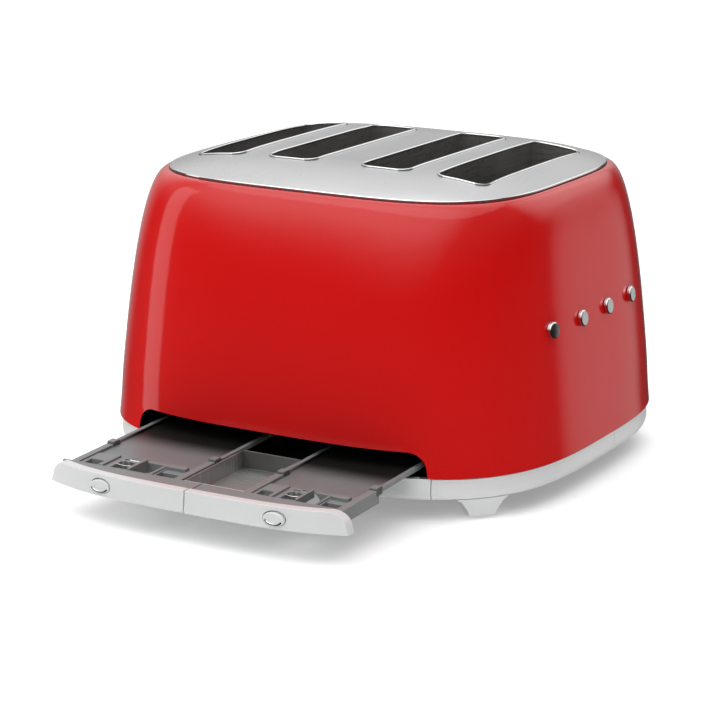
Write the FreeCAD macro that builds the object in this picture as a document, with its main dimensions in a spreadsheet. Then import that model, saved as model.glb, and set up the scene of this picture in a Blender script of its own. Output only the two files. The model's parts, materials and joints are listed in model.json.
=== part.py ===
import FreeCAD, Part
import math
import os
import re

import Sketcher

# A four-slot pop-up toaster, in millimetres.
# X runs across the four slots, Y along them, Z up.  The levers and dials are on the -Y face,
# the two crumb trays come out of the +Y face, and the toaster stands on the plane Z = 0.
# The trays are drawn where they rest in this model: pulled out by tray_travel.

Vector = FreeCAD.Vector
document = FreeCAD.newDocument("Toaster")
sheet = document.addObject("Spreadsheet::Sheet", "Dims")

DRIVING = {
    # red casing
    "body_width": 340, "body_depth": 326, "rim_width": 274, "rim_depth": 250,
    "casing_bottom": 30, "rim_level": 202, "casing_wall": 1.5, "rim_flange": 5,
    "base_exponent": 3.3, "rim_exponent": 3.75, "shoulder_power": 0.47,
    # steel top plate and its slots
    "plate_gap": 0.8, "plate_rise": 11, "plate_thick": 1.2, "plate_exponent": 5,
    "slot_width": 36, "slot_length": 151, "slot_corner": 8,
    "slot_near": 36, "slot_far": 93.5, "collar_thick": 1, "collar_bottom": 190, "collar_lip": 0.8,
    # opening for the crumb trays, in the +Y face
    "arch_foot": 113, "arch_head": 109, "arch_top": 46.5, "arch_corner": 13, "arch_gap": 1.4,
    # metal band round the foot of the casing
    "band_bottom": 15, "band_gap": 0.9, "band_inset": 1.5, "band_taper": 1.2, "band_wall": 3, "seam_gap": 0.5,
    "strip_half": 113, "side_seam": -19,
    # feet
    "foot_x": 137, "foot_y": 121, "foot_turn": 41, "foot_bottom": 2, "foot_wide": 42,
    "foot_narrow": 18, "foot_deep": 30, "pad_radius": 7, "pad_proud": 2, "pad_sunk": 1,
    "pad_x": 129, "pad_y": 114,
    # base plate
    "base_level": 18, "base_thick": 1.2, "vent_length": 60, "vent_width": 4, "vent_pitch": 12,
    "vent_count": 8, "vent_y": -118, "gland_x": 70, "gland_y": -96, "gland_radius": 6,
    # inner chassis
    "bulkhead_y": 83, "sheet_thick": 1.2, "chassis_half": 124, "chassis_low": 50,
    "chassis_top": 188, "leg_width": 10, "flange": 9,
    "heater_low": 62, "heater_high": 180, "heater_thick": 1.2, "heater_end": 0.3,
    "heater_near": 14, "heater_middle": 64.75, "heater_outer": 115.5,
    # bread guides
    "guide_offset": 15.5, "guide_wire": 0.9, "guide_upright": 0.7, "guide_low": 66,
    "guide_high": 182, "guide_half": 73, "pivot_half": 82.4,
    # carriages, levers and what holds them down
    "lever_x": 64.75, "rest_level": 136, "rest_thick": 3, "rest_end": 72, "rest_half": 11,
    "rest_spine": 1.5, "rib_half": 1.2,
    "rod_y": -95, "rod_radius": 2.5, "rod_gap": 0.4, "sleeve_radius": 5.5, "sleeve_high": 20,
    "shelf_thick": 2, "shelf_out": 20, "shelf_half": 18,
    "lever_level": 160, "lever_low_slot": 88, "lever_high_slot": 176, "lever_slot_width": 9,
    "stem_width": 5, "stem_high": 5, "knob_front": -196, "knob_back": -176, "knob_half": 15,
    "knob_high": 12, "carriage_y": -102.5, "carriage_wall": 1.6,
    "magnet_width": 18, "magnet_deep": 12, "magnet_high": 24, "spring_radius": 2.6,
    "spring_wire": 0.5, "spring_pitch": 2.4, "spring_side": 13, "spring_low": 150,
    # electronics and controls
    "board_y": -120, "board_half": 114, "board_low": 44, "board_high": 84, "board_thick": 1.6,
    "control_level": 63, "dial_x": 96, "dial_radius": 16, "dial_front": -172, "dial_back": -156,
    "shaft_radius": 3, "button_radius": 5.5, "button_front": -165, "button_pitch": 17,
    "button_x": 50, "control_gap": 0.6, "button_play": 3,
    # crumb trays, as they stand when pushed home
    "tray_travel": 101.4, "tray_drop": 10.4, "tray_tilt": 1.6, "front_low": 30.8,
    "front_thick": 6, "front_gap": 0.4, "front_seam": 0.4,
    "frame_top": 43.6, "frame_low": 34.6, "strip_back": 116, "strip_front": 140,
    "arm_back": 97, "arm_wide": 5, "rail_low": 41, "rail_wide": 3, "stop_proud": 1.6,
    "tray_back": -74, "pan_level": 41.2, "pan_thick": 0.8, "pan_side": 2.2,
    "left_outer": 101, "left_inner": 16, "right_inner": -31, "right_outer": -104,
    "bin_back": 69, "bin_low": 30.6, "bin_notch": 22,
    "push_x": 65, "push_level": 37.4, "push_half": 7.6,
    "push_half_high": 4.6, "push_gap": 0.4, "push_proud": 0.5, "push_deep": 14,
    # four studs on each side of the casing
    "stud_level": 117, "stud_pitch": 41, "stud_first": -56, "stud_radius": 5.5, "stud_proud": 3,
}

for row, (alias, value) in enumerate(DRIVING.items(), start=1):
    sheet.set(f"A{row}", alias)
    sheet.set(f"B{row}", str(value))
    sheet.setAlias(f"B{row}", alias)
document.recompute()

NODES = []


# ---------------------------------------------------------------- helpers

def size(alias):
    """The number in one cell of the sheet."""
    return float(sheet.get(alias))


def formula(text):
    """Turn bare dimension names into references to the sheet."""
    def reference(word):
        return "Dims." + word.group(0) if word.group(0) in DRIVING else word.group(0)
    return re.sub(r"[a-z_]+", reference, str(text))


def bind(item, **expressions):
    """Bind properties to the sheet; x, y and z stand for the placement."""
    for name, text in expressions.items():
        path = f"Placement.Base.{name}" if name in ("x", "y", "z") else name
        item.setExpression(path, formula(text))
    return item


def node(item, label):
    """Name a finished sub-part and list it for writing."""
    item.Label = label
    NODES.append(item)
    return item


def block(name, x, y, z):
    """A box between two formulas along each axis."""
    box = document.addObject("Part::Box", name)
    return bind(box, x=x[0], y=y[0], z=z[0], Length=f"({x[1]}) - ({x[0]})",
                Width=f"({y[1]}) - ({y[0]})", Height=f"({z[1]}) - ({z[0]})")


def rod(name, radius, x, y, z, axis):
    """A cylinder along one axis, which is the one given as a pair of formulas."""
    cylinder = document.addObject("Part::Cylinder", name)
    turn = {"X": (Vector(0, 1, 0), 90), "Y": (Vector(1, 0, 0), -90), "Z": (Vector(0, 0, 1), 0)}
    cylinder.Placement = FreeCAD.Placement(Vector(), FreeCAD.Rotation(*turn[axis]))
    span = {"X": x, "Y": y, "Z": z}[axis]
    start = {"x": x, "y": y, "z": z}
    start[axis.lower()] = span[0]
    return bind(cylinder, Radius=radius, Height=f"({span[1]}) - ({span[0]})", **start)


def fuse(name, parts):
    joined = document.addObject("Part::MultiFuse", name)
    joined.Shapes = parts
    joined.Refine = True
    return joined


def cut(name, base, tools):
    """Take one or more tools away from a base."""
    result = document.addObject("Part::Cut", name)
    result.Base = base
    result.Tool = tools[0] if len(tools) == 1 else fuse(name + "Tools", tools)
    return result


def common(name, first, second):
    result = document.addObject("Part::Common", name)
    result.Base = first
    result.Tool = second
    return result


def shaped(name, shape):
    """A feature whose shape is worked out here, from the sheet's numbers."""
    feature = document.addObject("Part::Feature", name)
    feature.Shape = shape
    return feature


def origin_plane(body, role):
    for feature in body.Origin.OriginFeatures:
        if feature.Role == role:
            return feature
    raise LookupError(role)


def closed_sketch(body, name, plane, points):
    """A closed outline of straight lines, each corner bound to the sheet."""
    sketch = body.newObject("Sketcher::SketchObject", name)
    sketch.AttachmentSupport = [(origin_plane(body, plane), "")]
    sketch.MapMode = "FlatFace"
    places = [Vector(first, second, 0) for first, second in start_values(points)]
    count = len(places)
    for index in range(count):
        sketch.addGeometry(Part.LineSegment(places[index], places[(index + 1) % count]), False)
    for index in range(count):
        sketch.addConstraint(Sketcher.Constraint("Coincident", index, 2, (index + 1) % count, 1))
    for index, (first, second) in enumerate(points):
        for kind, text, value in (("DistanceX", first, places[index].x),
                                  ("DistanceY", second, places[index].y)):
            number = sketch.addConstraint(Sketcher.Constraint(kind, -1, 1, index, 1, value))
            sketch.setExpression(f"Constraints[{number}]", formula(text))
    return sketch


def start_values(points):
    """The numbers that pairs of formulas have now."""
    scratch = document.addObject("App::FeaturePython", "Scratch")
    scratch.addProperty("App::PropertyFloat", "Value")
    values = []
    for pair in points:
        numbers = []
        for text in pair:
            scratch.setExpression("Value", formula(text))
            document.recompute([scratch])
            numbers.append(scratch.Value)
        values.append(numbers)
    document.removeObject(scratch.Name)
    return values


def turned(name, outline):
    """A body turned about its own Z axis from (radius, height) corners."""
    body = document.addObject("PartDesign::Body", name)
    sketch = closed_sketch(body, name + "Outline", "XZ_Plane", outline)
    revolution = body.newObject("PartDesign::Revolution", name + "Turn")
    revolution.Profile = sketch
    revolution.ReferenceAxis = (sketch, ["V_Axis"])
    revolution.Angle = 360
    body.Tip = revolution
    document.recompute()
    return body


def padded(name, plane, outline, length):
    """A body padded both ways from the middle of an origin plane."""
    body = document.addObject("PartDesign::Body", name)
    sketch = closed_sketch(body, name + "Outline", plane, outline)
    pad = body.newObject("PartDesign::Pad", name + "Pad")
    pad.Profile = sketch
    pad.Midplane = True
    pad.setExpression("Length", formula(length))
    body.Tip = pad
    document.recompute()
    return body


def soften(body, radius, wanted):
    """Fillet the edges of a body's tip that pass a test."""
    tip = body.Tip
    names = [f"Edge{index}" for index, edge in enumerate(tip.Shape.Edges, start=1) if wanted(edge)]
    fillet = body.newObject("PartDesign::Fillet", tip.Name + "Soft")
    fillet.Base = (tip, names)
    fillet.setExpression("Radius", formula(radius))
    body.Tip = fillet
    document.recompute()
    return body


def rounded(name, box, radius):
    """A box with its four upright edges rounded."""
    fillet = document.addObject("Part::Fillet", name)
    fillet.Base = box
    upright = (1, 3, 5, 7)
    fillet.Edges = [(edge, size(radius), size(radius)) for edge in upright]
    return fillet


def rim_outline(half_width, half_depth, exponent, level):
    """A closed curve |x/a|^n + |y/b|^n = 1 at one level, as four smooth quarters."""
    steps = 16
    edges = []
    for quarter in range(4):
        points = []
        for step in range(steps + 1):
            angle = math.pi / 2 * (quarter + step / steps)
            across = abs(math.cos(angle) / half_width) ** exponent
            along = abs(math.sin(angle) / half_depth) ** exponent
            reach = (across + along) ** (-1 / exponent)
            points.append(Vector(reach * math.cos(angle), reach * math.sin(angle), level))
        start = Vector(0, 1, 0)
        start = FreeCAD.Rotation(Vector(0, 0, 1), 90 * quarter).multVec(start)
        end = FreeCAD.Rotation(Vector(0, 0, 1), 90).multVec(start)
        curve = Part.BSplineCurve()
        curve.interpolate(Points=points, InitialTangent=start, FinalTangent=end)
        edges.append(curve.toShape())
    return Part.Wire(edges)


def casing_solid(offset):
    """The casing's outer form, moved inwards by an offset, as one closed solid."""
    levels = 12
    low = size("casing_bottom")
    high = size("rim_level") - offset
    wires = []
    for step in range(levels + 1):
        left_over = (1 - step / levels) ** 2
        spread = left_over ** size("shoulder_power")
        width = size("rim_width") + (size("body_width") - size("rim_width")) * spread
        depth = size("rim_depth") + (size("body_depth") - size("rim_depth")) * spread
        exponent = size("rim_exponent") + (size("base_exponent") - size("rim_exponent")) * left_over
        level = high - (high - low) * left_over
        wires.append(rim_outline(width / 2 - offset, depth / 2 - offset, exponent, level))
    return Part.makeLoft(wires, True)


def ring_prism(offset, low, high):
    """An upright block with the casing's foot outline, moved inwards by an offset."""
    wire = rim_outline(size("body_width") / 2 - offset, size("body_depth") / 2 - offset,
                       size("base_exponent"), low)
    return Part.Face(wire).extrude(Vector(0, 0, high - low))


def slot_centres():
    return ["-slot_far", "-slot_near", "slot_near", "slot_far"]


SIDES = (("left", "+"), ("right", "-"))


# ---------------------------------------------------------------- casing

def casing():
    """The red casing: a thin shell with a flange under the plate and the openings in its walls."""
    outer = shaped("CasingOuter", casing_solid(0))
    inner = shaped("CasingInner", casing_solid(size("casing_wall")))
    hole = rim_outline(size("rim_width") / 2 - size("rim_flange"),
                       size("rim_depth") / 2 - size("rim_flange"),
                       size("rim_exponent"), size("rim_level") - 10)
    mouth = shaped("CasingMouth", Part.Face(hole).extrude(Vector(0, 0, 20)))
    tools = [inner, mouth, arch("CasingArch", "0", "casing_bottom - 5", "body_depth")]
    for side, sign in SIDES:
        middle = f"{sign}lever_x"
        face = ("-body_depth / 2 - 5", "-rim_depth / 2 + 12")
        tools.append(block(f"LeverSlot{side}", (f"{middle} - lever_slot_width / 2",
                                                f"{middle} + lever_slot_width / 2"),
                           face, ("lever_low_slot", "lever_high_slot")))
        tools.append(rod(f"DialHole{side}", "shaft_radius + control_gap", f"{sign}dial_x", face,
                         "control_level", "Y"))
        for place in (-1, 0, 1):
            tools.append(rod(f"ButtonHole{side}{place + 1}", "button_radius + control_gap",
                             f"{sign}button_x + {place} * button_pitch", face,
                             "control_level", "Y"))
    node(cut("Casing", outer, tools), "body_shell")


def arch(name, gap, low, reach):
    """The tray opening as a solid: leaning sides and round top corners."""
    outline = [(f"-arch_foot + {gap}", low), (f"arch_foot - {gap}", low),
               (f"arch_head - {gap}", f"arch_top - {gap}"),
               (f"-arch_head + {gap}", f"arch_top - {gap}")]
    body = padded(name, "XZ_Plane", outline, reach)
    top = size("arch_top") - 3

    def top_corner(edge):
        box = edge.BoundBox
        return box.YLength > 50 and box.ZMin > top - 2
    soften(body, f"arch_corner - {gap}", top_corner)
    half = document.addObject("Part::Box", name + "Half")
    bind(half, x="-body_width / 2", y="0", z="0", Length="body_width", Width="body_depth",
         Height="arch_top * 2")
    return common(name + "Rear", body, half)


def dome(name, lift, extra):
    """The solid under the plate's domed top, lifted a little and grown outwards by extra."""
    rings = (1, 0.98, 0.95, 0.91, 0.86, 0.8, 0.7, 0.5)
    half_width = size("rim_width") / 2 - size("plate_gap") + extra
    half_depth = size("rim_depth") / 2 - size("plate_gap") + extra
    power = size("plate_exponent")
    start = size("rim_level") + 0.2
    wires = [rim_outline(half_width, half_depth, size("rim_exponent"), start - 20)]
    wires.append(rim_outline(half_width, half_depth, size("rim_exponent"), start + lift))
    body = Part.makeLoft(wires, True)
    wires = []
    for ring in rings:
        level = start + lift + size("plate_rise") * (1 - ring ** power)
        wires.append(rim_outline(half_width * ring, half_depth * ring, size("rim_exponent"), level))
    cap = Part.makeLoft(wires, True)
    return shaped(name, body.fuse(cap).removeSplitter())


def top_plate():
    """The steel top plate, a shallow dome of sheet, and the collar that lines each of its slots."""
    upper = dome("PlateUpper", size("plate_thick"), 0)
    under = dome("PlateUnder", 0, 0)
    lip = dome("PlateLip", size("plate_thick") + size("collar_lip"), 0)
    holes = []
    collars = []
    for index, middle in enumerate(slot_centres()):
        hole = rounded(f"SlotHole{index}", slot_block(f"SlotBox{index}", middle, "0"),
                       "slot_corner")
        outer = rounded(f"CollarOuter{index}",
                        slot_block(f"CollarBox{index}", middle, "collar_thick"), "slot_corner")
        holes.append(outer)
        collars.append(cut(f"Collar{index}", common(f"CollarWhole{index}", outer, lip), [hole]))
    node(cut("Plate", upper, [under] + holes), "top_plate")
    node(fuse("Collars", collars), "slot_collars")


def slot_block(name, middle, grow):
    return block(name, (f"{middle} - slot_width / 2 - {grow}", f"{middle} + slot_width / 2 + {grow}"),
                 (f"-slot_length / 2 - {grow}", f"slot_length / 2 + {grow}"),
                 ("collar_bottom", "rim_level + plate_rise + 12"))


def side_studs():
    """A row of four domed studs on each side of the casing, one node a side."""
    skin = shaped("StudSkin", casing_solid(-size("stud_proud")))
    core = shaped("StudCore", casing_solid(0))
    for side, sign in SIDES:
        inner, outer = ("body_width / 2 - 30", "body_width / 2 + 10")
        span = (inner, outer) if sign == "+" else (f"-({outer})", f"-({inner})")
        pins = [rod(f"Stud{side}{index}", "stud_radius", span, f"stud_first + {index} * stud_pitch",
                    "stud_level", "X") for index in range(4)]
        row = common(f"StudRow{side}", fuse(f"StudPins{side}", pins), skin)
        node(cut(f"Studs{side}", row, [core]), f"side_studs_{side}")


# ---------------------------------------------------------------- band, feet and base

def band():
    """The band below the casing in four lengths, with a foot under each corner."""
    top = size("casing_bottom") - size("band_gap")
    low = size("band_bottom")
    inset = size("band_inset")
    outer_wires = []
    for offset, level in ((inset + size("band_taper"), low), (inset + 0.3, low + 2),
                          (inset, low + 5), (inset, top)):
        outer_wires.append(rim_outline(size("body_width") / 2 - offset,
                                       size("body_depth") / 2 - offset,
                                       size("base_exponent"), level))
    outer = shaped("BandOuter", Part.makeLoft(outer_wires, True))
    hollow = shaped("BandHollow", ring_prism(inset + size("band_taper") + size("band_wall"),
                                             low - 1, top + 1))
    ring = cut("BandRing", outer, [hollow])
    feet = {}
    for name, across, along in (("RearLeft", 1, 1), ("RearRight", -1, 1),
                                ("FrontLeft", 1, -1), ("FrontRight", -1, -1)):
        feet[name] = foot(name, across, along)
    half = "body_width / 2 + 5"
    rear = ("side_seam + seam_gap / 2", "body_depth / 2 + 5")
    levels = ("-5", "casing_bottom + 5")
    strip_box = block("StripBox", ("-strip_half + seam_gap / 2", "strip_half - seam_gap / 2"),
                      ("0", "body_depth / 2 + 5"), levels)
    notch = block("BinNotch", ("right_inner - 1", "left_inner + 1"), ("0", "body_depth / 2 + 5"),
                  ("bin_notch", "casing_bottom + 5"))
    node(cut("BandStrip", common("BandStripWhole", ring, strip_box), [notch]), "base_band_rear")
    for side, sign, key in (("left", 1, "RearLeft"), ("right", -1, "RearRight")):
        span = ("strip_half + seam_gap / 2", half) if sign == 1 else (
            f"-({half})", "-strip_half - seam_gap / 2")
        corner = block(f"CornerBox{side}", span, rear, levels)
        piece = common(f"BandCorner{side}", ring, corner)
        node(fuse(f"Band{side}", [piece, feet[key]]), f"base_band_{side}")
    front_box = block("FrontBox", (f"-({half})", half),
                      ("-body_depth / 2 - 5", "side_seam - seam_gap / 2"), levels)
    front = common("BandFrontWhole", ring, front_box)
    node(fuse("BandFront", [front, feet["FrontLeft"], feet["FrontRight"]]), "base_band_front")


def foot(name, across, along):
    """A foot that carries the band's face down to the counter and narrows as it goes."""
    low = size("foot_bottom")
    high = size("band_bottom") + 1
    turn = math.degrees(math.atan2(along * math.sin(math.radians(size("foot_turn"))),
                                   across * math.cos(math.radians(size("foot_turn")))))
    centre = Vector(across * size("foot_x"), along * size("foot_y"), 0)
    wires = []
    for share, level in ((0, low), (0.12, low + 4), (0.45, high - 4), (1, high)):
        width = size("foot_narrow") + (size("foot_wide") - size("foot_narrow")) * share
        depth = size("foot_deep") - 8 * (1 - share)
        plate = Part.makePlane(depth, width, Vector(size("foot_deep") / 2 - depth, -width / 2, level))
        wire = plate.OuterWire
        wire.rotate(Vector(), Vector(0, 0, 1), turn)
        wire.translate(centre)
        wires.append(wire)
    wedge = Part.makeLoft(wires, True, True)
    inset = size("band_inset") + size("band_taper")
    limits = [rim_outline(size("body_width") / 2 - offset, size("body_depth") / 2 - offset,
                          size("base_exponent"), level)
              for offset, level in ((inset + 2, low), (inset, high))]
    shape = wedge.common(Part.makeLoft(limits, True))
    seat = Part.makeCylinder(size("pad_radius") + 0.3, size("pad_sunk") + 1,
                             Vector(across * size("pad_x"), along * size("pad_y"), low - 1))
    return shaped(f"Foot{name}", shape.cut(seat))


def foot_pads():
    """A soft pad let into the underside of each foot, all four in one node."""
    places = (("pad_x", "pad_y"), ("-pad_x", "pad_y"), ("-pad_x", "-pad_y"), ("pad_x", "-pad_y"))
    top = "pad_proud + pad_sunk"
    pads = []
    for number, (x, y) in enumerate(places, start=1):
        pad = turned(f"Pad{number}", [("0", "0"), ("pad_radius - 1", "0"), ("pad_radius", "1"),
                                      ("pad_radius", top), ("0", top)])
        pads.append(bind(pad, x=x, y=y, z="0"))
    node(fuse("Pads", pads), "foot_pads")


def base_plate():
    """The steel plate that closes the underside, with vents and posts for the chassis."""
    low = size("base_level")
    offset = size("band_inset") + size("band_taper") + size("band_wall") + 0.5
    plate = shaped("BasePlateBlank", ring_prism(offset, low, low + size("base_thick")))
    top = "base_level + base_thick"
    rails = [block(f"TrayRail{index}", (f"{middle} - 2", f"{middle} + 2"), ("-70", "140"),
                   ("base_level", "frame_low - 1"))
             for index, middle in enumerate(("54", "-70.5"))]
    vents = [block(f"Vent{index}", (f"({index} - (vent_count - 1) / 2) * vent_pitch - vent_width / 2",
                                    f"({index} - (vent_count - 1) / 2) * vent_pitch + vent_width / 2"),
                   ("vent_y + 50", "vent_y + 50 + vent_length"), ("base_level - 5", f"{top} + 0.01"))
             for index in range(int(size("vent_count")))]
    opening = rod("GlandOpening", "gland_radius", "gland_x", "gland_y",
                  ("base_level - 5", "base_level + 5"), "Z")
    node(fuse("BasePlate", [cut("BasePlateCut", plate, vents + [opening])] + rails), "base_plate")
    gland = turned("Gland", [("2.6", "-6"), ("gland_radius - 1", "-6"), ("gland_radius - 0.4", "0"),
                             ("gland_radius - 0.4", "base_thick"), ("gland_radius + 2", "base_thick"),
                             ("gland_radius + 2", "base_thick + 2"), ("2.6", "base_thick + 2")])
    bind(gland, x="gland_x", y="gland_y", z="base_level")
    node(gland, "cord_gland")


# ---------------------------------------------------------------- chassis

def bulkheads():
    """Two upright plates that carry the heaters; legs straddle the trays down to the base plate."""
    for label, sign in (("rear", 1), ("front", -1)):
        near, far = "bulkhead_y", "bulkhead_y + sheet_thick"
        thick = (near, far) if sign == 1 else (f"-({far})", f"-({near})")
        wall = block(f"Wall{label}", ("-chassis_half", "chassis_half"), thick,
                     ("chassis_low", "chassis_top"))
        parts = [wall]
        for side, lean in SIDES:
            span = ("chassis_half - leg_width", "chassis_half") if lean == "+" else (
                "-chassis_half", "-chassis_half + leg_width")
            parts.append(block(f"Leg{label}{side}", span, thick,
                               ("base_level + base_thick", "chassis_low + 1")))
            edge = ("chassis_half - sheet_thick", "chassis_half") if lean == "+" else (
                "-chassis_half", "-chassis_half + sheet_thick")
            reach = ("bulkhead_y", "bulkhead_y + flange") if sign == 1 else (
                "-(bulkhead_y + flange)", "-bulkhead_y")
            parts.append(block(f"Flange{label}{side}", edge, reach, ("chassis_low", "chassis_top")))
        holes = [rod(f"PivotHole{label}{index}", "guide_wire + 0.4", middle, ("-200", "200"),
                     "guide_low", "Y") for index, middle in enumerate(guide_middles())]
        if sign == -1:
            parts += shelves()
            holes += carriage_holes()
        plate = cut(f"Bulkhead{label}", fuse(f"BulkheadWhole{label}", parts), holes)
        node(plate, f"bulkhead_{label}")


def shelves():
    """Two small shelves a side, which hold the guide rods between them."""
    result = []
    for side, sign in SIDES:
        for level, name in (("chassis_low", "Low"), ("chassis_top - shelf_thick", "High")):
            result.append(block(f"Shelf{side}{name}",
                                (f"{sign}lever_x - shelf_half", f"{sign}lever_x + shelf_half"),
                                ("-bulkhead_y - shelf_out", "-bulkhead_y"),
                                (level, f"{level} + shelf_thick")))
    return result


def carriage_holes():
    """Slots in the front bulkhead that the bread rests run up and down in."""
    return [block(f"RestHole{index}", (f"{middle} - 2.6", f"{middle} + 2.6"),
                  ("-bulkhead_y - 5", "-bulkhead_y + 5"),
                  ("rest_level - 70", "rest_level + rest_thick + 14"))
            for index, middle in enumerate(slot_centres())]


def heater_boards():
    """Insulating boards that stand between the bulkheads on both sides of every slot."""
    places = ("-heater_outer", "-heater_middle", "-heater_near",
              "heater_near", "heater_middle", "heater_outer")
    for number, middle in enumerate(places, start=1):
        board = block(f"Heater{number}", (f"{middle} - heater_thick / 2", f"{middle} + heater_thick / 2"),
                      ("-bulkhead_y + heater_end", "bulkhead_y - heater_end"),
                      ("heater_low", "heater_high"))
        node(board, f"heater_board_{number}")


def guide_middles():
    return [f"{middle} {side} guide_offset" for middle in slot_centres() for side in "-+"]


def bread_guides():
    """Wire guides, hung on a pivot wire at the foot, that close on the bread."""
    for number, middle in enumerate(guide_middles(), start=1):
        wires = [rod(f"Pivot{number}", "guide_wire", middle, ("-pivot_half", "pivot_half"),
                     "guide_low", "Y")]
        for step in range(1, 5):
            level = f"guide_low + (guide_high - guide_low) * {step} / 4"
            wires.append(rod(f"Long{number}w{step}", "guide_wire", middle,
                             ("-guide_half", "guide_half"), level, "Y"))
        for step in range(5):
            along = f"-guide_half + guide_wire + (guide_half - guide_wire) * {step} / 2"
            wires.append(rod(f"Upright{number}w{step}", "guide_upright", middle, along,
                             ("guide_low", "guide_high"), "Z"))
        node(fuse(f"Guide{number}", wires), f"bread_guide_{number}")


# ---------------------------------------------------------------- carriages and controls

def carriages():
    """On each side a carriage lifts two bread rests, and its stem carries the lever knob."""
    for side, sign in SIDES:
        middle = f"{sign}lever_x"
        near, far = (f"{sign}slot_near", f"{sign}slot_far")
        edges = (f"{near} - 5", f"{far} + 5") if sign == "+" else (f"{far} - 5", f"{near} + 5")
        back = "carriage_y + carriage_wall"
        parts = [block(f"Cross{side}", edges, ("carriage_y", back),
                       ("rest_level", "lever_level + 5"))]
        bread_rests(side, (near, far), back)
        parts.append(block(f"Stem{side}", (f"{middle} - stem_width / 2", f"{middle} + stem_width / 2"),
                           ("knob_back - 4", back), ("lever_level - stem_high / 2",
                                                    "lever_level + stem_high / 2")))
        parts.append(rod(f"Sleeve{side}", "sleeve_radius", middle, "rod_y",
                         ("lever_level - sleeve_high / 2", "lever_level + sleeve_high / 2"), "Z"))
        parts.append(block(f"Web{side}", (f"{middle} - 2", f"{middle} + 2"), ("carriage_y", "rod_y"),
                           ("lever_level - sleeve_high / 2", "lever_level + sleeve_high / 2")))
        spring_x = f"{middle} + spring_side"
        parts.append(block(f"Lug{side}", (f"{spring_x} - 3", f"{spring_x} + 3"),
                           ("carriage_y", "rod_y + 3"), ("spring_low - 2", "spring_low")))
        parts.append(block(f"Armature{side}", (f"{middle} - spring_side - 5", f"{middle} - spring_side + 5"),
                           ("carriage_y", "rod_y + 4"), ("rest_level", "rest_level + 1.5")))
        bore = rod(f"Bore{side}", "rod_radius + rod_gap", middle, "rod_y", ("0", "300"), "Z")
        node(cut(f"Carriage{side}", fuse(f"CarriageWhole{side}", parts), [bore]), f"carriage_{side}")
        lever_knob(side, middle)
        guide_rod = rod(f"GuideRod{side}", "rod_radius", middle, "rod_y",
                        ("chassis_low + shelf_thick", "chassis_top - shelf_thick"), "Z")
        node(guide_rod, f"guide_rod_{side}")
        return_spring(side, spring_x)
        magnet = block(f"Magnet{side}", (f"{middle} - spring_side - magnet_width / 2",
                                         f"{middle} - spring_side + magnet_width / 2"),
                       ("rod_y - 6.5", "rod_y - 6.5 + magnet_deep"),
                       ("chassis_low + shelf_thick", "chassis_low + shelf_thick + magnet_high - 4"))
        clear = rod(f"MagnetClear{side}", "rod_radius + 0.5", middle, "rod_y", ("0", "200"), "Z")
        node(cut(f"MagnetCut{side}", magnet, [clear]), f"electromagnet_{side}")


def bread_rests(side, slots, start):
    """The two bread rests of one side: each a spine with six cross ribs under the slice."""
    rests = []
    for index, slot in enumerate(slots):
        ribs = [block(f"Spine{side}{index}", (f"{slot} - rest_spine", f"{slot} + rest_spine"),
                      (start, "rest_end"), ("rest_level", "rest_level + rest_thick"))]
        for step in range(6):
            along = f"-rest_end + rib_half + {step} * (rest_end - rib_half) * 2 / 5"
            ribs.append(block(f"Rib{side}{index}r{step}",
                              (f"{slot} - rest_half", f"{slot} + rest_half"),
                              (f"{along} - rib_half", f"{along} + rib_half"),
                              ("rest_level + rest_thick / 2", "rest_level + rest_thick")))
        rests.append(fuse(f"Rest{side}{index}", ribs))
    node(fuse(f"Rests{side}", rests), f"bread_rests_{side}")


def lever_knob(side, middle):
    """A wide flat knob with rounded ends on the end of the stem."""
    box = block(f"KnobBox{side}", (f"{middle} - knob_half", f"{middle} + knob_half"),
                ("knob_front", "knob_back"),
                ("lever_level - knob_high / 2", "lever_level + knob_high / 2"))
    soft = document.addObject("Part::Fillet", f"KnobSoft{side}")
    soft.Base = box
    soft.Edges = [(edge, 4, 4) for edge in range(1, 13)]
    socket = block(f"KnobSocket{side}", (f"{middle} - stem_width / 2", f"{middle} + stem_width / 2"),
                   ("knob_back - 4", "knob_back + 1"), ("lever_level - stem_high / 2",
                                                       "lever_level + stem_high / 2"))
    node(cut(f"Knob{side}", soft, [socket]), f"lever_knob_{side}")


def return_spring(side, middle):
    """A tension spring from the carriage's lug to the upper shelf."""
    helix = document.addObject("Part::Helix", f"SpringPath{side}")
    bind(helix, Pitch="spring_pitch", Radius="spring_radius",
         Height="chassis_top - shelf_thick - spring_low - 2 * spring_wire - 0.2",
         x=middle, y="rod_y", z="spring_low + spring_wire + 0.1")
    wire = document.addObject("Part::Circle", f"SpringWire{side}")
    wire.Placement = FreeCAD.Placement(Vector(), FreeCAD.Rotation(Vector(1, 0, 0), 90))
    bind(wire, Radius="spring_wire", x=f"{middle} + spring_radius", y="rod_y",
         z="spring_low + spring_wire + 0.1")
    coil = document.addObject("Part::Sweep", f"Spring{side}")
    coil.Sections = [wire]
    coil.Spine = (helix, [])
    coil.Solid = True
    coil.Frenet = True
    node(coil, f"return_spring_{side}")


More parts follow.
